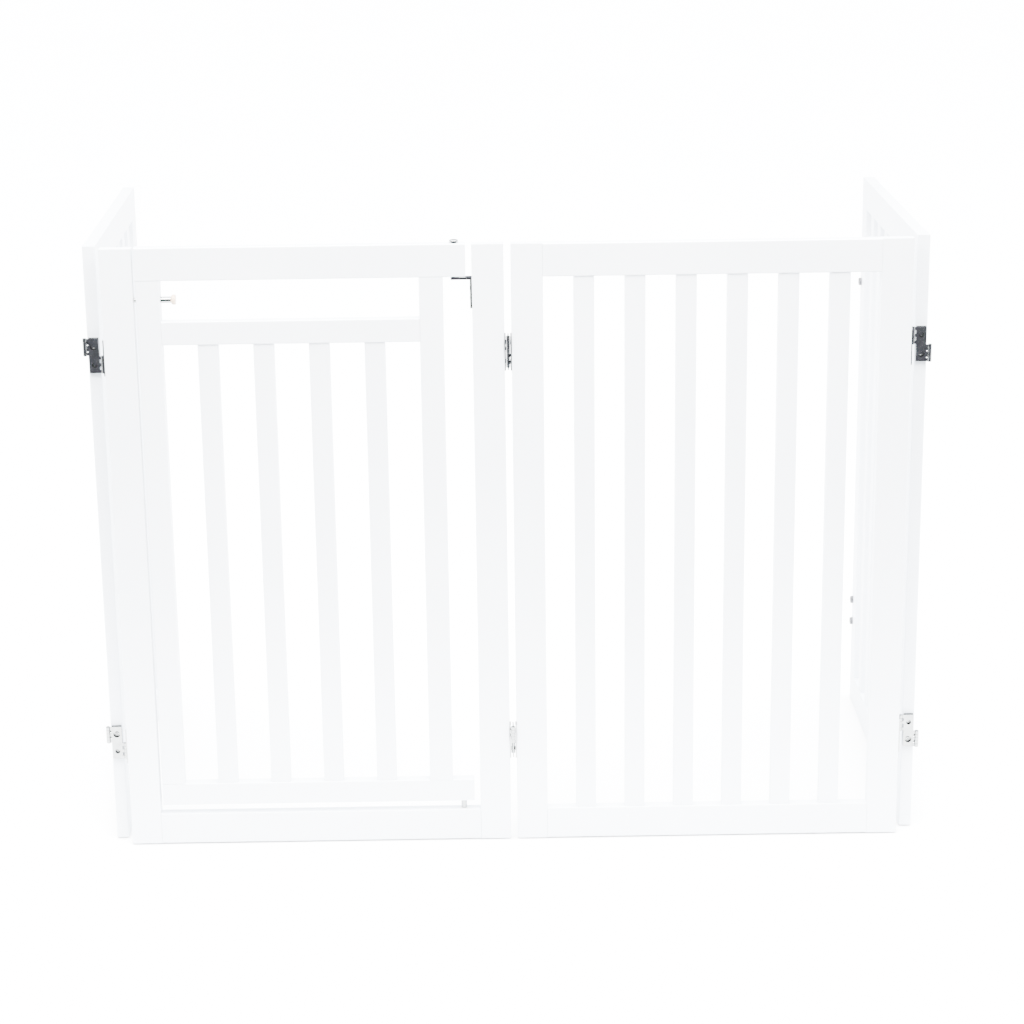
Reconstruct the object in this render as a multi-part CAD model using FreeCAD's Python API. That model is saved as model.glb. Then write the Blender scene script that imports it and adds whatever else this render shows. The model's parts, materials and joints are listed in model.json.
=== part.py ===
import FreeCAD, Part
import math
import os

# Free-standing pet gate: a door panel and a plain panel side by side, with a
# wing hinged to each outer end.  Units are millimetres.  +X runs to the right,
# +Y away from the front of the gate and +Z up.  The origin is on the floor
# under the centre of the whole object, with the wings folded to the back.

V = FreeCAD.Vector

# ---- driving dimensions -------------------------------------------------
PANEL_W = 505.0          # width of each panel
FRAME_H = 800.0          # height of the wooden frames
BOARD_T = 16.0           # thickness of stiles and rails
STILE_W = 40.0           # width of the frame stiles
RAIL_H = 42.0            # height of the top and bottom rails
EDGE_R = 1.5             # rounding of the long wooden edges

SLAT_W = 26.0            # width of a slat
SLAT_T = 12.0            # thickness of a slat
SLAT_COUNT = 6           # slats in a plain panel
TENON = 8.0              # length of a slat end let into a rail

DOWEL_R = 4.0            # frame dowels
DOWEL_LEN = 30.0
DOWEL_SPREAD = 11.0      # from the rail's middle to each of its two dowels
DOOR_DOWEL_R = 3.0       # dowels in the door's narrow stiles
DOOR_DOWEL_LEN = 24.0
DOOR_DOWEL_SPREAD = 7.0

GLIDE_H = 2.0            # glide head standing under the frame
GLIDE_R = 4.5
GLIDE_INSET = 22.0       # from a panel's end to its glide
NAIL_R = 1.1
NAIL_LEN = 12.0

# double-action hinges
PANEL_GAP = 9.0          # between two panels lying in line
HINGE_H = 46.0
HINGE_LOW_Z = 137.0      # middle of the lower hinge above the frame's foot
HINGE_HIGH_DOWN = 139.0  # middle of the upper hinge below the frame's top
LEAF_T = 1.5
LEAF_INSET = 1.5         # leaf edge in from the board's faces
BARREL_R = 2.75
BARREL_CLEAR = 0.35      # between a barrel and the board's face
KNUCKLES = 5
KNUCKLE_GAP = 0.3
PIN_R = 1.2
PIN_HEAD_R = 1.9
PIN_HEAD_H = 0.7
RUN = 0.05               # radial running clearance of pins and bolts
LINK_HOLE_R = 4.6        # access hole in the link, over a leaf screw
LINK_SMALL_HOLE_R = 3.3  # and over the other screw
SCREW_R = 1.5
SCREW_HEAD_R = 3.0
SCREW_DOME = 0.4
SCREW_LEN = 14.0
SCREW_SPREAD = 12.0      # from the hinge's middle to each screw

# door
DOOR_RAIL_H = 30.0       # height of the door's upper and bottom rails
DOOR_STILE_W = 30.0
DOOR_SLATS = 4
DOOR_SIDE_GAP = 3.7      # at the latch side
DOOR_PIVOT_GAP = 8.0     # at the pivot side
DOOR_FOOT_GAP = 12.4     # over the frame's bottom rail
DOOR_RISE = 1.0          # door's top above the frame's top
DOOR_TOP_RAIL_H = 42.0
HAND_GAP = 52.0          # open slot under the door's top rail
PIVOT_STILE_IN = 36.5    # from the frame stile to the door's pivot stile
PIVOT_IN = 22.0          # from the frame stile to the pivot axis
PIVOT_R = 3.7
PIVOT_DEPTH = 22.0       # pivot pin's hold in each rail
BUSH_WALL = 1.3
BOLT_R = 3.0
BOLT_HEAD_R = 5.6
BOLT_HEAD_H = 4.0
BRACKET_T = 2.5
BRACKET_INSET = 1.0      # bracket's edges in from the board's faces
BRACKET_LONG = 26.5
BRACKET_DROP = 39.0
BRACKET_GAP = 1.2        # between the bracket and the door's top rail
WASHER_R = 6.0
WASHER_FREE = 0.3

# latch
LATCH_DOWN = 25.0        # latch axis below the door's top rail
LATCH_R = 3.0
LATCH_THROW = 8.0        # how far the bolt goes into its strike
LATCH_FREE = 1.0         # bolt's end to the strike with the latch drawn
LATCH_STOP = 0.5         # room left behind the neck with the bolt thrown
NECK_R = 4.0
NECK_OUT = 13.0          # knob's neck standing out of the door stile
NECK_IN = 5.0
KNOB_R = 6.4
KNOB_LEN = 6.0
SPIGOT_R = 2.0
STRIKE_WALL = 1.5
STRIKE_CLEAR = 0.4

# how far each wing stands folded back from lying in line, in degrees
LEFT_FOLD = 87.8
RIGHT_FOLD = 89.4

# bumpers on the wings
BUMPER_R = 5.5
BUMPER_T = 4.0
BUMPER_IN = 9.0          # from the wing's free end
BUMPER_RISE = 4.0        # middle of a bumper pair above the hinge's middle
BUMPER_SPREAD = 17.0     # from the pair's middle to each bumper

# ---- derived places -----------------------------------------------------
FOOT_Z = GLIDE_H
TOP_Z = FOOT_Z + FRAME_H
BARREL_OUT = BARREL_R + BARREL_CLEAR
MID_Y = BOARD_T / 2


# ---- small makers -------------------------------------------------------
def box(x0, x1, y0, y1, z0, z1):
    return Part.makeBox(x1 - x0, y1 - y0, z1 - z0, V(x0, y0, z0))


def rod_z(radius, x, y, z0, z1):
    return Part.makeCylinder(radius, z1 - z0, V(x, y, z0), V(0, 0, 1))


def rod_x(radius, x0, x1, y, z):
    return Part.makeCylinder(radius, x1 - x0, V(x0, y, z), V(1, 0, 0))


def rod_y(radius, x, y0, y1, z):
    return Part.makeCylinder(radius, y1 - y0, V(x, y0, z), V(0, 1, 0))


def cut_all(shape, tools):
    for tool in tools:
        shape = shape.cut(tool)
    return shape


def fuse_all(shapes):
    whole = shapes[0].fuse(shapes[1:])
    return whole.removeSplitter()


def board(x0, x1, z0, z1, thick=BOARD_T):
    """A wooden piece across the panel's middle plane, its long edges rounded."""
    y0 = MID_Y - thick / 2
    plain = box(x0, x1, y0, y0 + thick, z0, z1)
    upright = (z1 - z0) > (x1 - x0)
    along = V(0, 0, 1) if upright else V(1, 0, 0)
    long_edges = []
    for edge in plain.Edges:
        if abs(abs(edge.tangentAt(edge.FirstParameter).dot(along)) - 1) < 1e-6:
            long_edges.append(edge)
    return plain.makeFillet(EDGE_R, long_edges)


# ---- dowels, glides and screws ------------------------------------------
def rail_dowels(x_joint, z_mid):
    """The two dowels that cross the joint between a stile and a rail."""
    half = DOWEL_LEN / 2
    dowels = []
    for side in (-1, 1):
        z = z_mid + side * DOWEL_SPREAD
        dowels.append(rod_x(DOWEL_R, x_joint - half, x_joint + half, MID_Y, z))
    return dowels


def stile_dowels(x_mid, z_joint):
    """The two dowels in the end of a narrow door stile."""
    half = DOOR_DOWEL_LEN / 2
    dowels = []
    for side in (-1, 1):
        x = x_mid + side * DOOR_DOWEL_SPREAD
        dowels.append(rod_z(DOOR_DOWEL_R, x, MID_Y, z_joint - half, z_joint + half))
    return dowels


def glides(x0, x1):
    """Domed glides nailed under a panel that runs from x0 to x1."""
    made = []
    for x in (x0 + GLIDE_INSET, x1 - GLIDE_INSET):
        head = Part.makeCone(GLIDE_R * 0.8, GLIDE_R, GLIDE_H, V(x, MID_Y, 0), V(0, 0, 1))
        nail = rod_z(NAIL_R, x, MID_Y, FOOT_Z, FOOT_Z + NAIL_LEN)
        made.append(head.fuse(nail))
    return made


def nail_holes(x0, x1):
    holes = []
    for x in (x0 + GLIDE_INSET, x1 - GLIDE_INSET):
        holes.append(rod_z(NAIL_R, x, MID_Y, FOOT_Z, FOOT_Z + NAIL_LEN))
    return holes


def wood_screw(face_x, inward, z, seat):
    """A countersunk screw driven along X; its head ends in a low dome.

    face_x is the wood's surface, inward is +1 or -1 and seat is the plate's thickness."""
    out = V(-inward, 0, 0)
    tip = rod_x(SCREW_R, min(face_x, face_x + inward * SCREW_LEN),
                max(face_x, face_x + inward * SCREW_LEN), MID_Y, z)
    cone = Part.makeCone(SCREW_R, SCREW_HEAD_R, seat, V(face_x, MID_Y, z), out)
    rim = V(face_x - inward * seat, MID_Y, z)
    dome = Part.makeCone(SCREW_HEAD_R, SCREW_HEAD_R * 0.6, SCREW_DOME, rim, out)
    return fuse_all([tip, cone, dome])


def screw_sink(face_x, inward, z, seat):
    return Part.makeCone(SCREW_R, SCREW_HEAD_R, seat, V(face_x, MID_Y, z), V(-inward, 0, 0))


def screw_pilot(face_x, inward, z):
    far = face_x + inward * SCREW_LEN
    return rod_x(SCREW_R, min(face_x, far), max(face_x, far), MID_Y, z)


def hinge_heights():
    return [FOOT_Z + HINGE_LOW_Z, TOP_Z - HINGE_HIGH_DOWN]


def hinge_pilots(face_x, inward):
    """Screw holes for both hinges in the edge of a stile."""
    holes = []
    for z_mid in hinge_heights():
        for side in (-1, 1):
            holes.append(screw_pilot(face_x, inward, z_mid + side * SCREW_SPREAD))
    return holes


# ---- double-action hinge ------------------------------------------------
def knuckle_spans(z0, z1):
    """Lower and upper end of each knuckle in a barrel."""
    length = (z1 - z0 - (KNUCKLES - 1) * KNUCKLE_GAP) / KNUCKLES
    spans = []
    for k in range(KNUCKLES):
        low = z0 + k * (length + KNUCKLE_GAP)
        spans.append((low, low + length))
    return spans


def barrel_zone(z_mid, upper):
    """The half of a hinge that holds one barrel, clear of its neighbour."""
    end = PIN_HEAD_H + KNUCKLE_GAP
    if upper:
        return z_mid + end / 2, z_mid + HINGE_H / 2 - PIN_HEAD_H
    return z_mid - HINGE_H / 2 + PIN_HEAD_H, z_mid - end / 2


def across(u0, u1, y0, y1, z0, z1, x_mid, way):
    """A box given from the gap's middle, u growing towards the far panel."""
    xs = sorted((x_mid + way * u0, x_mid + way * u1))
    return box(xs[0], xs[1], y0, y1, z0, z1)


def leaf(x_mid, way, side, z_mid, barrel_y, upper):
    """A leaf flat on a panel's edge; side is -1 for the near panel and 1 for the far one."""
    wall = PANEL_GAP / 2
    pieces = [across(side * (wall - LEAF_T), side * wall, LEAF_INSET, BOARD_T - LEAF_INSET,
                     z_mid - HINGE_H / 2, z_mid + HINGE_H / 2, x_mid, way)]
    edge_y = LEAF_INSET if barrel_y < MID_Y else BOARD_T - LEAF_INSET
    spans = knuckle_spans(*barrel_zone(z_mid, upper))
    for z0, z1 in spans[1::2]:
        ys = sorted((barrel_y + math.copysign(LEAF_T / 2, barrel_y - MID_Y), edge_y))
        pieces.append(across(side * (wall - LEAF_T), side * wall, ys[0], ys[1], z0, z1, x_mid, way))
        pieces.append(across(0, side * wall, barrel_y - LEAF_T / 2, barrel_y + LEAF_T / 2,
                             z0, z1, x_mid, way))
        pieces.append(rod_z(BARREL_R, x_mid, barrel_y, z0, z1))
    shape = fuse_all(pieces)
    shape = shape.cut(rod_z(PIN_R + RUN, x_mid, barrel_y, z_mid - HINGE_H, z_mid + HINGE_H))
    face_x = x_mid + way * side * wall
    for end in (-1, 1):
        shape = shape.cut(screw_sink(face_x, way * side, z_mid + end * SCREW_SPREAD, LEAF_T))
    return shape


def link(x_mid, z_mid, front_upper):
    """The plate between two leaves, with a front barrel in one half and a back barrel in the other."""
    half_t = LEAF_T / 2
    front = barrel_zone(z_mid, front_upper)
    back = barrel_zone(z_mid, not front_upper)
    pieces = [box(x_mid - half_t, x_mid + half_t, LEAF_INSET, BOARD_T - LEAF_INSET,
                  min(front[0], back[0]), max(front[1], back[1]))]
    for zone, axis_y, edge_y in ((front, -BARREL_OUT, LEAF_INSET),
                                 (back, BOARD_T + BARREL_OUT, BOARD_T - LEAF_INSET)):
        for z0, z1 in knuckle_spans(*zone)[0::2]:
            ys = sorted((axis_y, edge_y))
            pieces.append(box(x_mid - half_t, x_mid + half_t, ys[0], ys[1], z0, z1))
            pieces.append(rod_z(BARREL_R, x_mid, axis_y, z0, z1))
    shape = fuse_all(pieces)
    for axis_y in (-BARREL_OUT, BOARD_T + BARREL_OUT):
        shape = shape.cut(rod_z(PIN_R, x_mid, axis_y, z_mid - HINGE_H, z_mid + HINGE_H))
    up = SCREW_SPREAD if front_upper else -SCREW_SPREAD
    for radius, z in ((LINK_HOLE_R, z_mid + up), (LINK_SMALL_HOLE_R, z_mid - up)):
        shape = shape.cut(rod_x(radius, x_mid - PANEL_GAP, x_mid + PANEL_GAP, MID_Y, z))
    return shape


def hinge_pins(x_mid, z_mid, front_upper):
    """Both pins of a hinge, with a head at each end."""
    made = []
    for axis_y, upper in ((-BARREL_OUT, front_upper), (BOARD_T + BARREL_OUT, not front_upper)):
        z0, z1 = barrel_zone(z_mid, upper)
        made.append(fuse_all([
            rod_z(PIN_R, x_mid, axis_y, z0, z1),
            rod_z(PIN_HEAD_R, x_mid, axis_y, z0 - PIN_HEAD_H, z0),
            rod_z(PIN_HEAD_R, x_mid, axis_y, z1, z1 + PIN_HEAD_H),
        ]))
    return made


def hinge_pair(x_mid, way, front_upper):
    """The lower and upper hinge of one gap, panels in line: lists of solids by kind."""
    made = {"near": [], "link": [], "far": [], "pin": [], "near_screw": [], "far_screw": []}
    near_x = x_mid - way * PANEL_GAP / 2
    far_x = x_mid + way * PANEL_GAP / 2
    for z_mid in hinge_heights():
        made["near"].append(leaf(x_mid, way, -1, z_mid, BOARD_T + BARREL_OUT, not front_upper))
        made["link"].append(link(x_mid, z_mid, front_upper))
        made["far"].append(leaf(x_mid, way, 1, z_mid, -BARREL_OUT, front_upper))
        made["pin"].extend(hinge_pins(x_mid, z_mid, front_upper))
        for end in (-1, 1):
            z = z_mid + end * SCREW_SPREAD
            made["near_screw"].append(wood_screw(near_x, -way, z, LEAF_T))
            made["far_screw"].append(wood_screw(far_x, way, z, LEAF_T))
    return made


# ---- plain slatted panel ------------------------------------------------
def slat_places(x0, x1, count):
    """Left edge of each slat, evenly spaced between x0 and x1."""
    space = (x1 - x0 - count * SLAT_W) / (count + 1)
    return [x0 + space + k * (SLAT_W + space) for k in range(count)]


def slatted_panel(x0, hinged_left, hinged_right):
    """A plain panel whose left end is at x0; its pieces by kind."""
    x1 = x0 + PANEL_W
    inner0 = x0 + STILE_W
    inner1 = x1 - STILE_W
    low_mid = FOOT_Z + RAIL_H / 2
    high_mid = TOP_Z - RAIL_H / 2
    left_dowels = rail_dowels(inner0, low_mid) + rail_dowels(inner0, high_mid)
    right_dowels = rail_dowels(inner1, low_mid) + rail_dowels(inner1, high_mid)
    slats = []
    for x in slat_places(inner0, inner1, SLAT_COUNT):
        slats.append(board(x, x + SLAT_W, FOOT_Z + RAIL_H - TENON, TOP_Z - RAIL_H + TENON, SLAT_T))
    left_cuts = left_dowels + nail_holes(x0, x1)
    right_cuts = right_dowels + nail_holes(x0, x1)
    if hinged_left:
        left_cuts += hinge_pilots(x0, 1)
    if hinged_right:
        right_cuts += hinge_pilots(x1, -1)
    rail_cuts = left_dowels + right_dowels + slats
    return {
        "left_stile": [cut_all(board(x0, inner0, FOOT_Z, TOP_Z), left_cuts)],
        "right_stile": [cut_all(board(inner1, x1, FOOT_Z, TOP_Z), right_cuts)],
        "top_rail": [cut_all(board(inner0, inner1, TOP_Z - RAIL_H, TOP_Z), rail_cuts)],
        "bottom_rail": [cut_all(board(inner0, inner1, FOOT_Z, FOOT_Z + RAIL_H), rail_cuts)],
        "slats": slats,
        "dowels": left_dowels + right_dowels,
        "glides": glides(x0, x1),
    }


def bumpers(x_end, way):
    """Round bumpers on the back of a wing, by its free end; way points at that end."""
    made = []
    x = x_end - way * BUMPER_IN
    for z_mid in hinge_heights():
        for side in (-1, 1):
            z = z_mid + BUMPER_RISE + side * BUMPER_SPREAD
            made.append(rod_y(BUMPER_R, x, BOARD_T, BOARD_T + BUMPER_T, z))
    return made


# ---- door frame and door ------------------------------------------------
DOOR_FRAME_X0 = -PANEL_GAP / 2 - PANEL_W
DOOR_FRAME_X1 = -PANEL_GAP / 2
OPEN_X0 = DOOR_FRAME_X0 + STILE_W
OPEN_X1 = DOOR_FRAME_X1 - STILE_W
DOOR_X0 = OPEN_X0 + DOOR_SIDE_GAP
DOOR_X1 = OPEN_X1 - DOOR_PIVOT_GAP
PIVOT_X = OPEN_X1 - PIVOT_IN
PIVOT_STILE_X1 = OPEN_X1 - PIVOT_STILE_IN
PIVOT_STILE_X0 = PIVOT_STILE_X1 - DOOR_STILE_W
LATCH_STILE_X1 = DOOR_X0 + DOOR_STILE_W
SILL_Z = FOOT_Z + RAIL_H
DOOR_Z0 = SILL_Z + DOOR_FOOT_GAP
DOOR_Z1 = TOP_Z + DOOR_RISE
DOOR_TOP_Z = DOOR_Z1 - DOOR_TOP_RAIL_H
UPPER_RAIL_Z1 = DOOR_TOP_Z - HAND_GAP
UPPER_RAIL_Z0 = UPPER_RAIL_Z1 - DOOR_RAIL_H
DOOR_LOW_Z = DOOR_Z0 + DOOR_RAIL_H
LATCH_Z = DOOR_TOP_Z - LATCH_DOWN
NECK_BORE = NECK_IN + LATCH_FREE + LATCH_THROW + LATCH_STOP
BRACKET_Z1 = DOOR_TOP_Z - BRACKET_GAP
BRACKET_Z0 = BRACKET_Z1 - BRACKET_T


def bracket_screw_heights():
    third = (BRACKET_DROP - BRACKET_T) / 3
    return [BRACKET_Z0 - third, BRACKET_Z0 - 2 * third]


def door_frame():
    """The three-sided frame around the door: two stiles and a sill."""
    sill_mid = FOOT_Z + RAIL_H / 2
    left = rail_dowels(OPEN_X0, sill_mid)
    right = rail_dowels(OPEN_X1, sill_mid)
    nails = nail_holes(DOOR_FRAME_X0, DOOR_FRAME_X1)
    strike_hole = rod_x(LATCH_R + STRIKE_CLEAR + STRIKE_WALL, OPEN_X0 - 2 * LATCH_THROW, OPEN_X0,
                        MID_Y, LATCH_Z)
    left_cuts = left + nails + hinge_pilots(DOOR_FRAME_X0, 1) + [strike_hole]
    right_cuts = right + nails + hinge_pilots(DOOR_FRAME_X1, -1)
    for z in bracket_screw_heights():
        right_cuts.append(screw_pilot(OPEN_X1, 1, z))
    bush_hole = rod_z(PIVOT_R + RUN + BUSH_WALL, PIVOT_X, MID_Y, SILL_Z - PIVOT_DEPTH, SILL_Z)
    left_stile = board(DOOR_FRAME_X0, OPEN_X0, FOOT_Z, TOP_Z)
    right_stile = board(OPEN_X1, DOOR_FRAME_X1, FOOT_Z, TOP_Z)
    sill = board(OPEN_X0, OPEN_X1, FOOT_Z, SILL_Z)
    return {
        "left_stile": [cut_all(left_stile, left_cuts)],
        "right_stile": [cut_all(right_stile, right_cuts)],
        "bottom_rail": [cut_all(sill, left + right + [bush_hole])],
        "dowels": left + right,
        "glides": glides(DOOR_FRAME_X0, DOOR_FRAME_X1),
    }


def door():
    """The swinging door: three rails, a latch stile, a pivot stile and slats."""
    latch_mid = (DOOR_X0 + LATCH_STILE_X1) / 2
    pivot_mid = (PIVOT_STILE_X0 + PIVOT_STILE_X1) / 2
    top_pins = stile_dowels(latch_mid, DOOR_TOP_Z) + stile_dowels(pivot_mid, DOOR_TOP_Z)
    low_pins = stile_dowels(latch_mid, DOOR_LOW_Z) + stile_dowels(pivot_mid, DOOR_LOW_Z)
    upper_mid = (UPPER_RAIL_Z0 + UPPER_RAIL_Z1) / 2
    cross_pins = []
    for x in (LATCH_STILE_X1, PIVOT_STILE_X0):
        half = DOOR_DOWEL_LEN / 2
        for side in (-1, 1):
            z = upper_mid + side * DOOR_DOWEL_SPREAD
            cross_pins.append(rod_x(DOOR_DOWEL_R, x - half, x + half, MID_Y, z))
    slats = []
    for x in slat_places(LATCH_STILE_X1, PIVOT_STILE_X0, DOOR_SLATS):
        slats.append(board(x, x + SLAT_W, DOOR_LOW_Z - TENON, UPPER_RAIL_Z0 + TENON, SLAT_T))
    bolt_hole = rod_z(BOLT_R, PIVOT_X, MID_Y, DOOR_TOP_Z, DOOR_Z1)
    pin_hole = rod_z(PIVOT_R, PIVOT_X, MID_Y, DOOR_Z0, DOOR_Z0 + PIVOT_DEPTH)
    latch_bore = rod_x(NECK_R + RUN, LATCH_STILE_X1 - NECK_BORE, LATCH_STILE_X1, MID_Y, LATCH_Z)
    latch_guide = rod_x(LATCH_R + RUN, DOOR_X0, LATCH_STILE_X1, MID_Y, LATCH_Z)
    latch_stile = board(DOOR_X0, LATCH_STILE_X1, DOOR_LOW_Z, DOOR_TOP_Z)
    pivot_stile = board(PIVOT_STILE_X0, PIVOT_STILE_X1, DOOR_LOW_Z, DOOR_TOP_Z)
    top_rail = board(DOOR_X0, DOOR_X1, DOOR_TOP_Z, DOOR_Z1)
    upper_rail = board(LATCH_STILE_X1, PIVOT_STILE_X0, UPPER_RAIL_Z0, UPPER_RAIL_Z1)
    bottom_rail = board(DOOR_X0, DOOR_X1, DOOR_Z0, DOOR_LOW_Z)
    pins = top_pins + low_pins + cross_pins
    return {
        "top_rail": [cut_all(top_rail, top_pins + [bolt_hole])],
        "upper_rail": [cut_all(upper_rail, cross_pins + slats)],
        "bottom_rail": [cut_all(bottom_rail, low_pins + slats + [pin_hole])],
        "latch_stile": [cut_all(latch_stile, pins + [latch_bore, latch_guide])],
        "pivot_stile": [cut_all(pivot_stile, pins)],
        "slats": slats,
        "dowels": pins,
    }


# ---- pivots -------------------------------------------------------------
def pivot_bracket():
    """The angle under the door's top rail that carries the top pivot."""
    y0 = BRACKET_INSET
    y1 = BOARD_T - BRACKET_INSET
    flat = box(OPEN_X1 - BRACKET_LONG, OPEN_X1, y0, y1, BRACKET_Z0, BRACKET_Z1)
    upright = box(OPEN_X1 - BRACKET_T, OPEN_X1, y0, y1, BRACKET_Z1 - BRACKET_DROP, BRACKET_Z1)
    shape = flat.fuse(upright).removeSplitter()
    shape = shape.cut(rod_z(BOLT_R + RUN, PIVOT_X, MID_Y, BRACKET_Z0, BRACKET_Z1))
    for z in bracket_screw_heights():
        shape = shape.cut(screw_sink(OPEN_X1, 1, z, BRACKET_T))
    return shape


def bracket_screws():
    return [wood_screw(OPEN_X1, 1, z, BRACKET_T) for z in bracket_screw_heights()]


def top_pivot_bolt():
    shank = rod_z(BOLT_R, PIVOT_X, MID_Y, BRACKET_Z0 - WASHER_FREE, DOOR_Z1)
    head = rod_z(BOLT_HEAD_R, PIVOT_X, MID_Y, DOOR_Z1, DOOR_Z1 + BOLT_HEAD_H)
    rim = [e for e in head.Edges if e.BoundBox.ZMin > DOOR_Z1 + BOLT_HEAD_H - 0.01]
    return shank.fuse(head.makeFillet(BOLT_HEAD_H / 3, rim)).removeSplitter()


def pivot_washer():
    z0 = BRACKET_Z1 + WASHER_FREE
    ring = rod_z(WASHER_R, PIVOT_X, MID_Y, z0, DOOR_TOP_Z)
    return ring.cut(rod_z(BOLT_R, PIVOT_X, MID_Y, z0, DOOR_TOP_Z))


def bottom_pivot_pin():
    z0 = SILL_Z - PIVOT_DEPTH + BUSH_WALL + WASHER_FREE
    return rod_z(PIVOT_R, PIVOT_X, MID_Y, z0, DOOR_Z0 + PIVOT_DEPTH)


def pivot_bush():
    outside = rod_z(PIVOT_R + RUN + BUSH_WALL, PIVOT_X, MID_Y, SILL_Z - PIVOT_DEPTH, SILL_Z)
    inside = rod_z(PIVOT_R + RUN, PIVOT_X, MID_Y, SILL_Z - PIVOT_DEPTH + BUSH_WALL, SILL_Z)
    return outside.cut(inside)


# ---- latch --------------------------------------------------------------
NECK_X0 = LATCH_STILE_X1 - NECK_IN
NECK_X1 = LATCH_STILE_X1 + NECK_OUT


def latch_bolt():
    """The bolt with the thicker neck that slides in the door stile and a spigot for the knob."""
    return fuse_all([
        rod_x(LATCH_R, OPEN_X0 + LATCH_FREE, NECK_X0, MID_Y, LATCH_Z),
        rod_x(NECK_R, NECK_X0, NECK_X1, MID_Y, LATCH_Z),
        rod_x(SPIGOT_R, NECK_X1, NECK_X1 + KNOB_LEN / 2, MID_Y, LATCH_Z),
    ])


def latch_knob():
    """The flared round knob on the neck's end."""
    flare = Part.makeCone(NECK_R, KNOB_R, KNOB_LEN / 3, V(NECK_X1, MID_Y, LATCH_Z), V(1, 0, 0))
    cap = rod_x(KNOB_R, NECK_X1 + KNOB_LEN / 3, NECK_X1 + KNOB_LEN, MID_Y, LATCH_Z)
    rim = [e for e in cap.Edges if e.BoundBox.XMin > NECK_X1 + KNOB_LEN - 0.01]
    shape = fuse_all([flare, cap.makeFillet(KNOB_LEN / 5, rim)])
    return shape.cut(rod_x(SPIGOT_R, NECK_X1, NECK_X1 + KNOB_LEN / 2, MID_Y, LATCH_Z))


def strike_bush():
    """The lined hole that the bolt is thrown into."""
    x0 = OPEN_X0 - 2 * LATCH_THROW
    outside = rod_x(LATCH_R + STRIKE_CLEAR + STRIKE_WALL, x0, OPEN_X0, MID_Y, LATCH_Z)
    return outside.cut(rod_x(LATCH_R + STRIKE_CLEAR, x0 + STRIKE_WALL, OPEN_X0, MID_Y, LATCH_Z))


# ---- placing and writing ------------------------------------------------
def turned(shapes, axis_x, degrees):
    """Copies turned about the back barrel of the hinge at axis_x."""
    out = []
    for shape in shapes:
        copy = shape.copy()
        copy.rotate(V(axis_x, BOARD_T + BARREL_OUT, 0), V(0, 0, 1), degrees)
        out.append(copy)
    return out


def place(node, shapes):
    placed[node] = [solid for shape in shapes for solid in shape.Solids]


def place_group(prefix, pieces):
    for kind, shapes in pieces.items():
        place(prefix + "_" + kind, shapes)


def write_all():
    """Centres the whole gate over the origin and writes one file per node."""
    whole = Part.makeCompound([solid for solids in placed.values() for solid in solids])
    bounds = whole.optimalBoundingBox(False, False)
    to_centre = V(-(bounds.XMin + bounds.XMax) / 2, -(bounds.YMin + bounds.YMax) / 2, 0)
    for node, solids in placed.items():
        moved = [solid.translated(to_centre) for solid in solids]
        shape = moved[0] if len(moved) == 1 else Part.makeCompound(moved)
        shape.exportStep(os.path.join("parts", node + ".step"))


os.makedirs("parts", exist_ok=True)
placed = {}

frame = door_frame()
place_group("door_frame", frame)
place_group("door", door())
right_x0 = PANEL_GAP / 2
place_group("right_panel", slatted_panel(right_x0, True, True))

middle = hinge_pair(0.0, -1, True)
left_axis = DOOR_FRAME_X0 - PANEL_GAP / 2
right_axis = right_x0 + PANEL_W + PANEL_GAP / 2
left = hinge_pair(left_axis, -1, True)
right = hinge_pair(right_axis, 1, False)

left_wing = slatted_panel(left_axis - PANEL_GAP / 2 - PANEL_W, False, True)
left_wing["bumpers"] = bumpers(left_axis - PANEL_GAP / 2 - PANEL_W, -1)
right_wing = slatted_panel(right_axis + PANEL_GAP / 2, True, False)
right_wing["bumpers"] = bumpers(right_axis + PANEL_GAP / 2 + PANEL_W, 1)
for kind in left_wing:
    place("left_wing_" + kind, turned(left_wing[kind], left_axis, -LEFT_FOLD))
    place("right_wing_" + kind, turned(right_wing[kind], right_axis, RIGHT_FOLD))

place("middle_hinge_near_leaves", middle["near"])
place("middle_hinge_links", middle["link"])
place("middle_hinge_far_leaves", middle["far"])
place("middle_hinge_pins", middle["pin"])
corners = (("left", left, left_axis, -LEFT_FOLD), ("right", right, right_axis, RIGHT_FOLD))
for name, pair, axis, angle in corners:
    place(name + "_hinge_near_leaves", pair["near"])
    place(name + "_hinge_links", turned(pair["link"], axis, angle))
    place(name + "_hinge_far_leaves", turned(pair["far"], axis, angle))
    place(name + "_hinge_pins", turned(pair["pin"], axis, angle))
    place(name + "_wing_screws", turned(pair["far_screw"], axis, angle))
place("door_frame_screws", left["near_screw"] + middle["far_screw"] + bracket_screws())
place("right_panel_screws", middle["near_screw"] + right["near_screw"])

place("pivot_bracket", [pivot_bracket()])
place("top_pivot_bolt", [top_pivot_bolt()])
place("pivot_washer", [pivot_washer()])
place("bottom_pivot_pin", [bottom_pivot_pin()])
place("pivot_bush", [pivot_bush()])
place("latch_bolt", [latch_bolt()])
place("latch_knob", [latch_knob()])
place("strike_bush", [strike_bush()])
write_all()
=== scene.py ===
import json
import math
import bpy
from mathutils import Matrix, Vector


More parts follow.
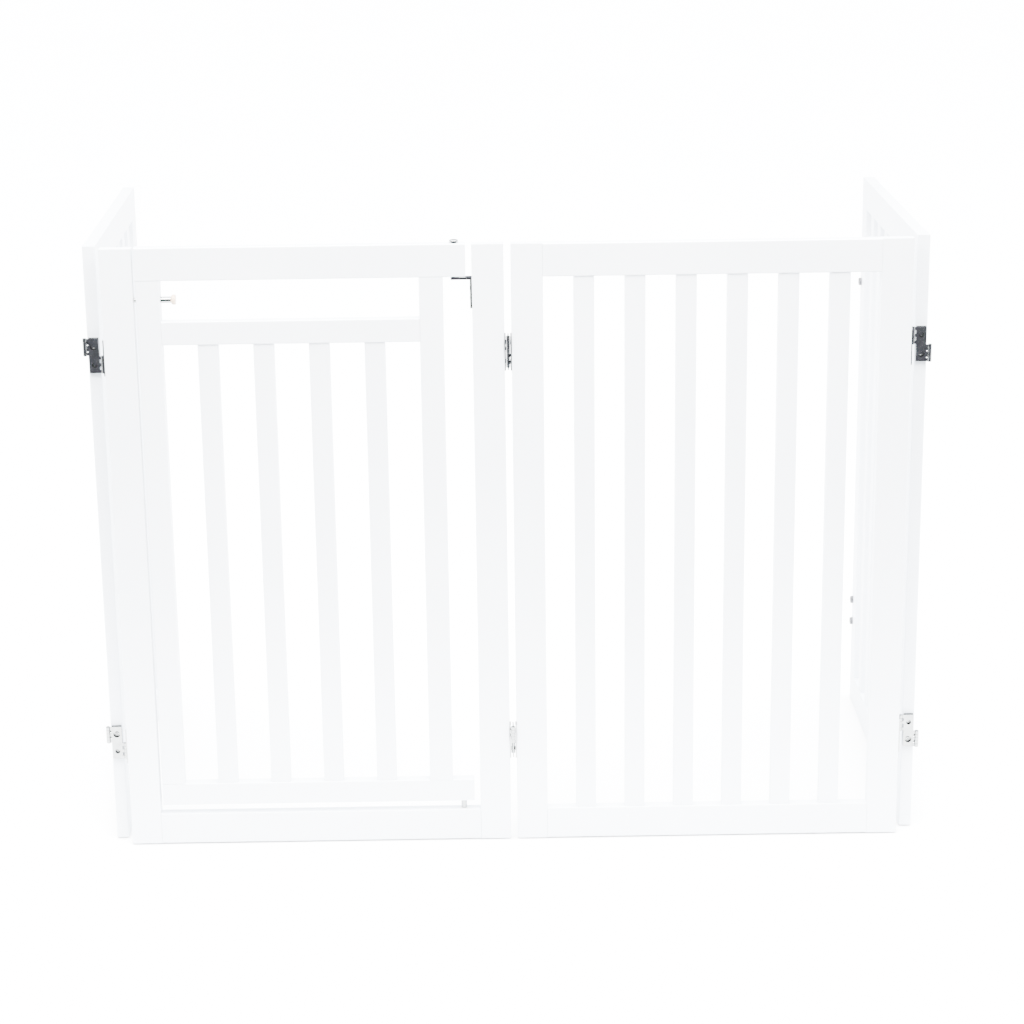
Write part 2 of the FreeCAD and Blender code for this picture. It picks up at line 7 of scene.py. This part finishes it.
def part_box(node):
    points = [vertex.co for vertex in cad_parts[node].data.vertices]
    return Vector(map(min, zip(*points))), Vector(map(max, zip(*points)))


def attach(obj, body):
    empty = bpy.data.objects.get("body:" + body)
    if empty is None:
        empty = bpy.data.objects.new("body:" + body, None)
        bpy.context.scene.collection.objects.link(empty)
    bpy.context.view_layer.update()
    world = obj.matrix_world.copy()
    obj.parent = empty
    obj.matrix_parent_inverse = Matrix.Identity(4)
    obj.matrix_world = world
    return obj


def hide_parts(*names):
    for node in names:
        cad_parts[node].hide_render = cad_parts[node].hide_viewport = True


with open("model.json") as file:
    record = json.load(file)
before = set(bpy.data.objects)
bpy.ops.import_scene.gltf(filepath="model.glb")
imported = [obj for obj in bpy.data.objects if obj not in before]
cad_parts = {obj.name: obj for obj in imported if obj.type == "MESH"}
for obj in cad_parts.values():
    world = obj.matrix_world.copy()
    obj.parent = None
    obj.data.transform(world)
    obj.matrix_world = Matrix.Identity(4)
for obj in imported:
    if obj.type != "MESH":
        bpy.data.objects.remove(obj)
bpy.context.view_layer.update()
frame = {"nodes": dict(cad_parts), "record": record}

RECORD = frame["record"]
MM = 0.001
STILE_WIDTH = 0.040
SLAT_WIDTH = 0.026
SLAT_THICK = 0.012
SLAT_ROUND = 0.0015
PANEL_SLATS = 6
DOOR_SLATS = 4
HINGE_HEIGHT = 0.046
SCREW_SPREAD = 0.012
LEAF_THICK = 0.0015
BRACKET_THICK = 0.0025
BRACKET_SCREWS_DOWN = (0.0147, 0.0268)
BUMPER_FROM_END = 0.009
BUMPER_SPREAD = 0.017


# ---- small helpers for node trees ---------------------------------------
def new_material(name):
    material = bpy.data.materials.new(name)
    material.use_nodes = True
    tree = material.node_tree
    return material, tree, tree.nodes["Principled BSDF"]


def object_coords(tree, scale):
    """Object coordinates stretched by scale, so that grain can run along a piece."""
    coords = tree.nodes.new("ShaderNodeTexCoord")
    mapping = tree.nodes.new("ShaderNodeMapping")
    mapping.inputs["Scale"].default_value = scale
    tree.links.new(coords.outputs["Object"], mapping.inputs["Vector"])
    return mapping.outputs["Vector"]


def noise(tree, vector, scale, detail=3.0, rough=0.5):
    node = tree.nodes.new("ShaderNodeTexNoise")
    node.inputs["Scale"].default_value = scale
    node.inputs["Detail"].default_value = detail
    node.inputs["Roughness"].default_value = rough
    tree.links.new(vector, node.inputs["Vector"])
    return node.outputs["Fac"]


def ramp(tree, factor, low, high, start=0.3, end=0.7):
    node = tree.nodes.new("ShaderNodeValToRGB")
    node.color_ramp.elements[0].position = start
    node.color_ramp.elements[1].position = end
    node.color_ramp.elements[0].color = (*low, 1.0)
    node.color_ramp.elements[1].color = (*high, 1.0)
    tree.links.new(factor, node.inputs["Fac"])
    return node.outputs["Color"]


def spread(tree, factor, low, high):
    node = tree.nodes.new("ShaderNodeMapRange")
    node.inputs["To Min"].default_value = low
    node.inputs["To Max"].default_value = high
    tree.links.new(factor, node.inputs["Value"])
    return node.outputs["Result"]


def bump(tree, shader, heights):
    """Stacks bump layers given as (height output, strength, distance)."""
    normal = None
    for height, strength, distance in heights:
        node = tree.nodes.new("ShaderNodeBump")
        node.inputs["Strength"].default_value = strength
        node.inputs["Distance"].default_value = distance
        tree.links.new(height, node.inputs["Height"])
        if normal is not None:
            tree.links.new(normal, node.inputs["Normal"])
        normal = node.outputs["Normal"]
    tree.links.new(normal, shader.inputs["Normal"])


# ---- materials ----------------------------------------------------------
def lacquer(name, grain):
    """Satin white lacquer, its colour darkened and tinted blue below white as painted shade; grain is the
    stretch of the wood's faint lines under it.
    """
    material, tree, shader = new_material(name)
    plain = object_coords(tree, (1.0, 1.0, 1.0))
    along = object_coords(tree, grain)
    cloud = noise(tree, plain, 5.0, 4.0)
    lines = noise(tree, along, 60.0, 5.0, 0.6)
    # Base colour: the lacquer's own off-white with a random cloudy tone, darkened and tinted blue as painted
    # shade.
    tree.links.new(ramp(tree, cloud, (0.66, 0.70, 0.75), (0.70, 0.74, 0.79)), shader.inputs["Base Color"])
    tree.links.new(spread(tree, noise(tree, plain, 40.0, 3.0), 0.34, 0.50), shader.inputs["Roughness"])
    peel = noise(tree, plain, 900.0, 2.0)
    bump(tree, shader, [(lines, 0.16, 0.0004), (peel, 0.05, 0.0001)])
    shader.inputs["Coat Weight"].default_value = 0.15
    shader.inputs["Coat Roughness"].default_value = 0.25
    return material


def plated_steel():
    material, tree, shader = new_material("plated_steel")
    plain = object_coords(tree, (1.0, 1.0, 1.0))
    drawn = object_coords(tree, (1.0, 1.0, 0.15))
    cloud = noise(tree, plain, 90.0, 4.0)
    tree.links.new(ramp(tree, cloud, (0.22, 0.23, 0.23), (0.29, 0.30, 0.30)), shader.inputs["Base Color"])
    tree.links.new(spread(tree, noise(tree, plain, 260.0, 3.0), 0.12, 0.24), shader.inputs["Roughness"])
    bump(tree, shader, [(noise(tree, drawn, 1500.0, 2.0), 0.08, 0.0001)])
    shader.inputs["Metallic"].default_value = 1.0
    return material


def dowel_wood():
    material, tree, shader = new_material("dowel_wood")
    along = object_coords(tree, (0.1, 1.0, 1.0))
    lines = noise(tree, along, 500.0, 5.0)
    tree.links.new(ramp(tree, lines, (0.62, 0.45, 0.27), (0.78, 0.62, 0.42)), shader.inputs["Base Color"])
    tree.links.new(spread(tree, lines, 0.5, 0.7), shader.inputs["Roughness"])
    bump(tree, shader, [(lines, 0.2, 0.0002)])
    return material


def bumper_rubber():
    material, tree, shader = new_material("bumper_rubber")
    plain = object_coords(tree, (1.0, 1.0, 1.0))
    dust = noise(tree, plain, 300.0, 4.0)
    tree.links.new(ramp(tree, dust, (0.045, 0.045, 0.05), (0.09, 0.09, 0.095)), shader.inputs["Base Color"])
    tree.links.new(spread(tree, dust, 0.45, 0.65), shader.inputs["Roughness"])
    bump(tree, shader, [(noise(tree, plain, 2500.0, 2.0), 0.15, 0.0001)])
    return material


def knob_plastic():
    material, tree, shader = new_material("knob_plastic")
    plain = object_coords(tree, (1.0, 1.0, 1.0))
    cloud = noise(tree, plain, 120.0, 3.0)
    tree.links.new(ramp(tree, cloud, (0.52, 0.40, 0.29), (0.60, 0.48, 0.36)), shader.inputs["Base Color"])
    tree.links.new(spread(tree, cloud, 0.35, 0.5), shader.inputs["Roughness"])
    bump(tree, shader, [(noise(tree, plain, 1800.0, 2.0), 0.06, 0.0001)])
    return material


def bush_plastic():
    material, tree, shader = new_material("bush_plastic")
    plain = object_coords(tree, (1.0, 1.0, 1.0))
    cloud = noise(tree, plain, 200.0, 3.0)
    tree.links.new(ramp(tree, cloud, (0.70, 0.70, 0.68), (0.78, 0.78, 0.76)), shader.inputs["Base Color"])
    tree.links.new(spread(tree, cloud, 0.4, 0.6), shader.inputs["Roughness"])
    bump(tree, shader, [(noise(tree, plain, 1500.0, 2.0), 0.08, 0.0001)])
    return material


# ---- geometry node trees ------------------------------------------------
def new_tree(name, inputs):
    """An empty geometry tree with a geometry input and output and the named inputs."""
    tree = bpy.data.node_groups.new(name, "GeometryNodeTree")
    tree.interface.new_socket("Geometry", in_out="INPUT", socket_type="NodeSocketGeometry")
    tree.interface.new_socket("Geometry", in_out="OUTPUT", socket_type="NodeSocketGeometry")
    for label, kind in inputs:
        tree.interface.new_socket(label, in_out="INPUT", socket_type="NodeSocket" + kind)
    return tree, tree.nodes.new("NodeGroupInput"), tree.nodes.new("NodeGroupOutput")


def math_node(tree, operation, a, b=None):
    """A math node; a and b are outputs or plain numbers."""
    node = tree.nodes.new("ShaderNodeMath")
    node.operation = operation
    for socket, value in zip(node.inputs, (a, b)):
        if value is None:
            continue
        if isinstance(value, (int, float)):
            socket.default_value = value
        else:
            tree.links.new(value, socket)
    return node.outputs["Value"]


def finish_tree(tree, geometry, given, out):
    """Ends a tree: instances made real, material set."""
    real = tree.nodes.new("GeometryNodeRealizeInstances")
    paint = tree.nodes.new("GeometryNodeSetMaterial")
    tree.links.new(geometry, real.inputs["Geometry"])
    tree.links.new(real.outputs["Geometry"], paint.inputs["Geometry"])
    tree.links.new(given.outputs["Material"], paint.inputs["Material"])
    tree.links.new(paint.outputs["Geometry"], out.inputs["Geometry"])


def slat_row_tree():
    """A row of upright slats with rounded long edges, spaced along X from the origin."""
    tree, given, out = new_tree("slat_row", (
        ("Count", "Int"), ("Pitch", "Float"), ("Width", "Float"), ("Thickness", "Float"),
        ("Length", "Float"), ("Rounding", "Float"), ("Seed", "Int"), ("Material", "Material")))
    outline = tree.nodes.new("GeometryNodeCurvePrimitiveQuadrilateral")
    tree.links.new(given.outputs["Width"], outline.inputs["Width"])
    tree.links.new(given.outputs["Thickness"], outline.inputs["Height"])
    fillet = tree.nodes.new("GeometryNodeFilletCurve")
    fillet.mode = "POLY"
    fillet.inputs["Count"].default_value = 4
    tree.links.new(outline.outputs["Curve"], fillet.inputs["Curve"])
    tree.links.new(given.outputs["Rounding"], fillet.inputs["Radius"])
    face = tree.nodes.new("GeometryNodeFillCurve")
    face.mode = "NGONS"
    tree.links.new(fillet.outputs["Curve"], face.inputs["Curve"])
    push = tree.nodes.new("GeometryNodeExtrudeMesh")
    push.inputs["Individual"].default_value = False
    upward = tree.nodes.new("ShaderNodeCombineXYZ")
    upward.inputs["Z"].default_value = 1.0
    tree.links.new(face.outputs["Mesh"], push.inputs["Mesh"])
    tree.links.new(upward.outputs["Vector"], push.inputs["Offset"])
    tree.links.new(given.outputs["Length"], push.inputs["Offset Scale"])
    foot = tree.nodes.new("GeometryNodeFlipFaces")
    tree.links.new(face.outputs["Mesh"], foot.inputs["Mesh"])
    both = tree.nodes.new("GeometryNodeJoinGeometry")
    tree.links.new(push.outputs["Mesh"], both.inputs["Geometry"])
    tree.links.new(foot.outputs["Mesh"], both.inputs["Geometry"])
    closed = tree.nodes.new("GeometryNodeMergeByDistance")
    closed.inputs["Distance"].default_value = 1e-5
    tree.links.new(both.outputs["Geometry"], closed.inputs["Geometry"])
    line = tree.nodes.new("GeometryNodeMeshLine")
    step = tree.nodes.new("ShaderNodeCombineXYZ")
    tree.links.new(given.outputs["Pitch"], step.inputs["X"])
    tree.links.new(given.outputs["Count"], line.inputs["Count"])
    tree.links.new(step.outputs["Vector"], line.inputs["Offset"])
    place = tree.nodes.new("GeometryNodeInstanceOnPoints")
    tree.links.new(line.outputs["Mesh"], place.inputs["Points"])
    tree.links.new(closed.outputs["Geometry"], place.inputs["Instance"])
    finish_tree(tree, place.outputs["Instances"], given, out)
    return tree


PROFILE_POINTS = 8


def turned_tree():
    """A round piece turned from a profile, set at every point and aimed along its facing vector."""
    inputs = [("Segments", "Int"), ("Slot Length", "Float"), ("Slot Width", "Float"), ("Slot Floor", "Float")]
    for k in range(PROFILE_POINTS):
        inputs += [("Radius %d" % k, "Float"), ("Height %d" % k, "Float")]
    tree, given, out = new_tree("turned_piece", inputs + [("Seed", "Int"), ("Material", "Material")])
    grid = tree.nodes.new("GeometryNodeMeshGrid")
    grid.inputs["Size X"].default_value = 1.0
    grid.inputs["Size Y"].default_value = 1.0
    grid.inputs["Vertices Y"].default_value = PROFILE_POINTS
    tree.links.new(math_node(tree, "ADD", given.outputs["Segments"], 1.0), grid.inputs["Vertices X"])
    where = tree.nodes.new("GeometryNodeInputPosition")
    parts = tree.nodes.new("ShaderNodeSeparateXYZ")
    tree.links.new(where.outputs["Position"], parts.inputs["Vector"])
    angle = math_node(tree, "MULTIPLY", parts.outputs["X"], 2 * math.pi)
    row = math_node(tree, "MULTIPLY", math_node(tree, "ADD", parts.outputs["Y"], 0.5), PROFILE_POINTS - 1.0)
    row = math_node(tree, "ROUND", row)
    picked = []
    for word in ("Radius", "Height"):
        pick = tree.nodes.new("GeometryNodeIndexSwitch")
        pick.data_type = "FLOAT"
        while len(pick.index_switch_items) < PROFILE_POINTS:
            pick.index_switch_items.new()
        tree.links.new(row, pick.inputs["Index"])
        for k in range(PROFILE_POINTS):
            tree.links.new(given.outputs["%s %d" % (word, k)], pick.inputs[k + 1])
        picked.append(pick.outputs["Output"])
    spot = tree.nodes.new("ShaderNodeCombineXYZ")
    tree.links.new(math_node(tree, "MULTIPLY", picked[0], math_node(tree, "COSINE", angle)), spot.inputs["X"])
    tree.links.new(math_node(tree, "MULTIPLY", picked[0], math_node(tree, "SINE", angle)), spot.inputs["Y"])
    tree.links.new(picked[1], spot.inputs["Z"])
    shape = tree.nodes.new("GeometryNodeSetPosition")
    tree.links.new(grid.outputs["Mesh"], shape.inputs["Geometry"])
    tree.links.new(spot.outputs["Vector"], shape.inputs["Position"])
    closed = tree.nodes.new("GeometryNodeMergeByDistance")
    closed.inputs["Distance"].default_value = 2e-5
    tree.links.new(shape.outputs["Geometry"], closed.inputs["Geometry"])
    cutters = []
    for turn in (0.0, math.pi / 2):
        block = tree.nodes.new("GeometryNodeMeshCube")
        size = tree.nodes.new("ShaderNodeCombineXYZ")
        tree.links.new(given.outputs["Slot Length"], size.inputs["X"])
        tree.links.new(given.outputs["Slot Width"], size.inputs["Y"])
        size.inputs["Z"].default_value = 0.004
        tree.links.new(size.outputs["Vector"], block.inputs["Size"])
        move = tree.nodes.new("GeometryNodeTransform")
        lift = tree.nodes.new("ShaderNodeCombineXYZ")
        tree.links.new(math_node(tree, "ADD", given.outputs["Slot Floor"], 0.002), lift.inputs["Z"])
        move.inputs["Rotation"].default_value = (0.0, 0.0, turn)
        tree.links.new(block.outputs["Mesh"], move.inputs["Geometry"])
        tree.links.new(lift.outputs["Vector"], move.inputs["Translation"])
        cutters.append(move.outputs["Geometry"])
    cut = tree.nodes.new("GeometryNodeMeshBoolean")
    cut.operation = "DIFFERENCE"
    cut.solver = "EXACT"
    tree.links.new(closed.outputs["Geometry"], cut.inputs["Mesh 1"])
    for cutter in cutters:
        tree.links.new(cutter, cut.inputs["Mesh 2"])
    slotted = tree.nodes.new("GeometryNodeSwitch")
    slotted.input_type = "GEOMETRY"
    has_slot = math_node(tree, "GREATER_THAN", given.outputs["Slot Length"], 0.0)
    tree.links.new(has_slot, slotted.inputs["Switch"])
    tree.links.new(closed.outputs["Geometry"], slotted.inputs["False"])
    tree.links.new(cut.outputs["Mesh"], slotted.inputs["True"])
    facing = tree.nodes.new("GeometryNodeInputNamedAttribute")
    facing.data_type = "FLOAT_VECTOR"
    facing.inputs["Name"].default_value = "facing"
    aim = tree.nodes.new("FunctionNodeAlignRotationToVector")
    aim.axis = "Z"
    tree.links.new(facing.outputs["Attribute"], aim.inputs["Vector"])
    turn = tree.nodes.new("FunctionNodeRandomValue")
    turn.data_type = "FLOAT"
    turn.inputs[3].default_value = math.pi
    tree.links.new(given.outputs["Seed"], turn.inputs["Seed"])
    spin_vector = tree.nodes.new("ShaderNodeCombineXYZ")
    tree.links.new(turn.outputs[1], spin_vector.inputs["Z"])
    spin = tree.nodes.new("FunctionNodeRotateRotation")
    spin.rotation_space = "LOCAL"
    tree.links.new(aim.outputs["Rotation"], spin.inputs["Rotation"])
    tree.links.new(spin_vector.outputs["Vector"], spin.inputs["Rotate By"])
    place = tree.nodes.new("GeometryNodeInstanceOnPoints")
    tree.links.new(given.outputs["Geometry"], place.inputs["Points"])
    tree.links.new(slotted.outputs["Output"], place.inputs["Instance"])
    tree.links.new(spin.outputs["Rotation"], place.inputs["Rotation"])
    finish_tree(tree, place.outputs["Instances"], given, out)
    return tree


def grow(name, tree, values, points=(), facings=(), matrix=None):
    """Runs a tree on a small point mesh and returns its result as a plain object."""
    seed_mesh = bpy.data.meshes.new(name + "_points")
    seed_mesh.from_pydata([tuple(p) for p in points] or [(0.0, 0.0, 0.0)], [], [])
    if facings:
        attribute = seed_mesh.attributes.new("facing", "FLOAT_VECTOR", "POINT")
        for k, way in enumerate(facings):
            attribute.data[k].vector = way
    seed = bpy.data.objects.new(name + "_seed", seed_mesh)
    bpy.context.scene.collection.objects.link(seed)
    modifier = seed.modifiers.new("grow", "NODES")
    modifier.node_group = tree
    for item in tree.interface.items_tree:
        if item.in_out == "INPUT" and item.name in values:
            modifier[item.identifier] = values[item.name]
    bpy.context.view_layer.update()
    ready = seed.evaluated_get(bpy.context.evaluated_depsgraph_get())
    mesh = bpy.data.meshes.new_from_object(ready)
    bpy.data.objects.remove(seed)
    bpy.data.meshes.remove(seed_mesh)
    if matrix is not None:
        mesh.transform(matrix)
    mesh.name = name
    mesh.shade_smooth()
    mesh.set_sharp_from_angle(angle=math.radians(32))
    piece = bpy.data.objects.new(name, mesh)
    bpy.context.scene.collection.objects.link(piece)
    return piece


# ---- where the boards stand ---------------------------------------------
def middle_of(node):
    low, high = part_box(node)
    return (low + high) / 2


def board(first_stile, last_stile):
    """A panel's outer edge at its first stile, its direction, its face normal and its width."""
    start, end = middle_of(first_stile), middle_of(last_stile)
    along = Vector((end.x - start.x, end.y - start.y, 0.0))
    width = along.length + STILE_WIDTH
    along.normalize()
    edge = Vector((start.x, start.y, 0.0)) - along * STILE_WIDTH / 2
    normal = Vector((-along.y, along.x, 0.0))
    return {"edge": edge, "along": along, "normal": normal, "width": width}


def board_matrix(panel, shift, height):
    """Places X along the panel, Y through it and Z up, starting shift along it."""
    start = panel["edge"] + panel["along"] * shift
    columns = (panel["along"], panel["normal"], Vector((0.0, 0.0, 1.0)))
    turn = Matrix(columns).transposed().to_4x4()
    return Matrix.Translation((start.x, start.y, height)) @ turn


DOOR_FRAME = board("door_frame_left_stile", "door_frame_right_stile")
RIGHT_PANEL = board("right_panel_left_stile", "right_panel_right_stile")
LEFT_WING = board("left_wing_right_stile", "left_wing_left_stile")
RIGHT_WING = board("right_wing_left_stile", "right_wing_right_stile")


# ---- repeated pieces ----------------------------------------------------
def slat_values(count, pitch, length, material, seed):
    return {"Count": count, "Pitch": pitch, "Width": SLAT_WIDTH, "Thickness": SLAT_THICK,
            "Length": length, "Rounding": SLAT_ROUND, "Seed": seed, "Material": material}


def panel_slats(tree, node, body, panel, material, seed):
    """The slats of a plain panel, evenly spaced between its stiles."""
    low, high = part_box(node)
    space = (panel["width"] - 2 * STILE_WIDTH - PANEL_SLATS * SLAT_WIDTH) / (PANEL_SLATS + 1)
    first = STILE_WIDTH + space + SLAT_WIDTH / 2
    values = slat_values(PANEL_SLATS, space + SLAT_WIDTH, high.z - low.z, material, seed)
    piece = grow(body + "_slat_row", tree, values, matrix=board_matrix(panel, first, low.z))
    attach(piece, body)
    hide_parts(node)


def door_slats(tree, material):
    low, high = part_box("door_slats")
    pitch = (high.x - low.x - SLAT_WIDTH) / (DOOR_SLATS - 1)
    values = slat_values(DOOR_SLATS, pitch, high.z - low.z, material, 5)
    start = Matrix.Translation((low.x + SLAT_WIDTH / 2, (low.y + high.y) / 2, low.z))
    piece = grow("door_slat_row", tree, values, matrix=start)
    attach(piece, "door")
    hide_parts("door_slats")


def profile(points):
    values = {}
    for k, (radius, height) in enumerate(points):
        values["Radius %d" % k] = radius * MM
        values["Height %d" % k] = height * MM
    return values


def screw_values(material, seed):
    """A countersunk wood screw with a crosshead recess; height 0 is the plate's surface."""
    values = profile(((0, -15.5), (1.5, -13.0), (1.5, -1.5), (3.0, 0.0),
                      (2.95, 0.12), (2.3, 0.32), (1.2, 0.4), (0, 0.4)))
    values.update({"Segments": 32, "Slot Length": 3.4 * MM, "Slot Width": 0.75 * MM,
                   "Slot Floor": -0.7 * MM, "Seed": seed, "Material": material})
    return values


def hinge_screw_heights(leaf):
    low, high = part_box(leaf)
    heights = []
    for middle in (low.z + HINGE_HEIGHT / 2, high.z - HINGE_HEIGHT / 2):
        heights += [middle - SCREW_SPREAD, middle + SCREW_SPREAD]
    return heights


def edge_screws(panel, far_end, leaf):
    """Places and directions of the hinge screws in one end of a panel."""
    out = panel["along"] if far_end else -panel["along"]
    face = panel["edge"] + (panel["along"] * panel["width"] if far_end else Vector())
    places = [face + out * LEAF_THICK + Vector((0, 0, z)) for z in hinge_screw_heights(leaf)]
    return [(place, out) for place in places]


def bracket_screws():
    low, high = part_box("pivot_bracket")
    y = (low.y + high.y) / 2
    out = Vector((-1, 0, 0))
    x = high.x - BRACKET_THICK
    return [(Vector((x, y, high.z - down)), out) for down in BRACKET_SCREWS_DOWN]


def screw_set(tree, node, body, spots, material, seed):
    points = [spot for spot, way in spots]
    ways = [way for spot, way in spots]
    piece = grow(node + "_set", tree, screw_values(material, seed), points, ways)
    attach(piece, body)
    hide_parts(node)


def bumper_set(tree, node, body, panel, side, material, seed):
    """The round bumpers by a wing's free end, on the face that side points to."""
    low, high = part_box(node)
    values = profile(((0, 0), (5.5, 0), (5.5, 3.2), (4.7, 4.0), (2.5, 4.0), (2.1, 3.6), (2.1, 1.6), (0, 1.6)))
    values.update({"Segments": 40, "Slot Length": 0.0, "Slot Width": 0.0, "Slot Floor": 0.0,
                   "Seed": seed, "Material": material})
    out = panel["normal"] * side
    x = panel["width"] - BUMPER_FROM_END
    face = panel["edge"] + panel["along"] * x + out * 0.008
    radius = 5.5 * MM
    heights = (low.z + radius, low.z + radius + 2 * BUMPER_SPREAD,
               high.z - radius - 2 * BUMPER_SPREAD, high.z - radius)
    points = [face + Vector((0, 0, z)) for z in heights]
    piece = grow(node + "_set", tree, values, points, [out] * len(points))
    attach(piece, body)
    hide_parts(node)


# ---- finishes on the modelled nodes --------------------------------------
def paint_nodes(finishes, upright, level):
    for entry in RECORD["subparts"]:
        node = frame["nodes"][entry["node"]]
        material = finishes.get(entry["material_slot"])
        if entry["material_slot"] == "white_wood":
            material = level if entry["node"].endswith("rail") else upright
        node.data.materials.clear()
        node.data.materials.append(material)


# ---- room, light and camera ----------------------------------------------
FLOOR_SIDE = 30.0     # half the floor's width
FLOOR_FRONT = -0.90   # the floor stops here, so that plated pieces mirror something dark
FLOOR_BACK = 60.0
SKY_STRENGTH = 30.0
KEY_SIZE = 0.9
KEY_POWER = 120.0
KEY_COLOUR = (1.0, 0.94, 0.88)
FILL_SIZE = 2.0
FILL_POWER = 60.0


def stage_floor():
    mesh = bpy.data.meshes.new("floor")
    side, front, back = FLOOR_SIDE, FLOOR_FRONT, FLOOR_BACK
    mesh.from_pydata([(-side, front, 0), (side, front, 0), (side, back, 0), (-side, back, 0)],
                     [], [(0, 1, 2, 3)])
    floor = bpy.data.objects.new("floor", mesh)
    material, tree, shader = new_material("floor_paper")
    plain = object_coords(tree, (1.0, 1.0, 1.0))
    cloud = noise(tree, plain, 0.6, 3.0)
    tree.links.new(ramp(tree, cloud, (0.90, 0.90, 0.90), (0.92, 0.92, 0.92)), shader.inputs["Base Color"])
    tree.links.new(spread(tree, cloud, 0.8, 0.9), shader.inputs["Roughness"])
    bump(tree, shader, [(noise(tree, plain, 300.0, 2.0), 0.02, 0.0001)])
    mesh.materials.append(material)
    bpy.context.scene.collection.objects.link(floor)


def area_light(name, place, target, size, power, colour=(1.0, 1.0, 1.0)):
    data = bpy.data.lights.new(name, "AREA")
    data.shape = "SQUARE"
    data.size = size
    data.energy = power
    data.color = colour
    light = bpy.data.objects.new(name, data)
    light.location = place
    light.rotation_mode = "QUATERNION"
    light.rotation_quaternion = (Vector(target) - Vector(place)).to_track_quat("-Z", "Y")
    bpy.context.scene.collection.objects.link(light)


def studio_light():
    """White light from overhead and dark sides, so that the floor stays paler than upright faces."""
    world = bpy.data.worlds.new("studio")
    world.use_nodes = True
    tree = world.node_tree
    coords = tree.nodes.new("ShaderNodeTexCoord")
    parts = tree.nodes.new("ShaderNodeSeparateXYZ")
    tree.links.new(coords.outputs["Generated"], parts.inputs["Vector"])
    sky = ramp(tree, parts.outputs["Z"], (0.012, 0.012, 0.014), (0.97, 0.985, 1.0), 0.50, 0.74)
    tree.links.new(sky, tree.nodes["Background"].inputs["Color"])
    tree.nodes["Background"].inputs["Strength"].default_value = SKY_STRENGTH
    bpy.context.scene.world = world
    area_light("left_key", (-0.55, -1.1, 1.85), (-0.2, -0.26, 0.75), KEY_SIZE, KEY_POWER, KEY_COLOUR)
    area_light("right_key", (0.55, -1.1, 1.85), (0.2, -0.26, 0.75), KEY_SIZE, KEY_POWER, KEY_COLOUR)
    area_light("side_fill", (2.6, -2.2, 1.8), (0, 0, 0.4), FILL_SIZE, FILL_POWER)


def camera():
    """A camera in front of the gate, a little above it and looking slightly down."""
    middle = Vector(next(j["pos_m"] for j in RECORD["behaviour"]["joints"] if j["name"] == "mid_front"))
    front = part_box("door_frame_left_stile")[0]
    data = bpy.data.cameras.new("camera")
    data.sensor_width = 36.0
    data.lens = 86.94
    data.clip_start = 0.05
    data.clip_end = 60.0
    eye = bpy.data.objects.new("camera", data)
    yaw, down, roll = 0.0063, 0.2779, -0.0130
    forward = Vector((math.sin(yaw) * math.cos(down), math.cos(yaw) * math.cos(down), -math.sin(down)))
    right = Vector((math.cos(yaw), -math.sin(yaw), 0.0))
    up = right.cross(forward)
    rolled = right * math.cos(roll) + up * math.sin(roll)
    upright = up * math.cos(roll) - right * math.sin(roll)
    turn = Matrix((rolled, upright, -forward)).transposed().to_4x4()
    place = Vector((middle.x - 0.0171, front.y - 3.0567, front.z + 1.3244))
    eye.matrix_world = Matrix.Translation(place) @ turn
    bpy.context.scene.collection.objects.link(eye)
    bpy.context.scene.camera = eye


# ---- the gate --------------------------------------------------------------
UPRIGHT = lacquer("lacquer_upright", (1.0, 1.0, 0.06))
LEVEL = lacquer("lacquer_level", (0.06, 0.06, 1.0))
STEEL = plated_steel()
RUBBER = bumper_rubber()
paint_nodes({"plated_steel": STEEL, "dowel_wood": dowel_wood(), "bumper_rubber": RUBBER,
             "knob_plastic": knob_plastic(), "bush_plastic": bush_plastic()}, UPRIGHT, LEVEL)

slat_tree = slat_row_tree()
panel_slats(slat_tree, "right_panel_slats", "right_panel", RIGHT_PANEL, UPRIGHT, 1)
panel_slats(slat_tree, "left_wing_slats", "left_wing", LEFT_WING, UPRIGHT, 2)
panel_slats(slat_tree, "right_wing_slats", "right_wing", RIGHT_WING, UPRIGHT, 3)
door_slats(slat_tree, UPRIGHT)

turned = turned_tree()
frame_spots = edge_screws(DOOR_FRAME, False, "left_hinge_near_leaves")
frame_spots += edge_screws(DOOR_FRAME, True, "middle_hinge_far_leaves") + bracket_screws()
panel_spots = edge_screws(RIGHT_PANEL, False, "middle_hinge_near_leaves")
panel_spots += edge_screws(RIGHT_PANEL, True, "right_hinge_near_leaves")
left_spots = edge_screws(LEFT_WING, False, "left_hinge_far_leaves")
right_spots = edge_screws(RIGHT_WING, False, "right_hinge_far_leaves")
screw_set(turned, "door_frame_screws", "door_frame", frame_spots, STEEL, 11)
screw_set(turned, "right_panel_screws", "right_panel", panel_spots, STEEL, 12)
screw_set(turned, "left_wing_screws", "left_wing", left_spots, STEEL, 13)
screw_set(turned, "right_wing_screws", "right_wing", right_spots, STEEL, 14)
bumper_set(turned, "left_wing_bumpers", "left_wing", LEFT_WING, -1, RUBBER, 21)
bumper_set(turned, "right_wing_bumpers", "right_wing", RIGHT_WING, 1, RUBBER, 22)

stage_floor()
studio_light()
camera()
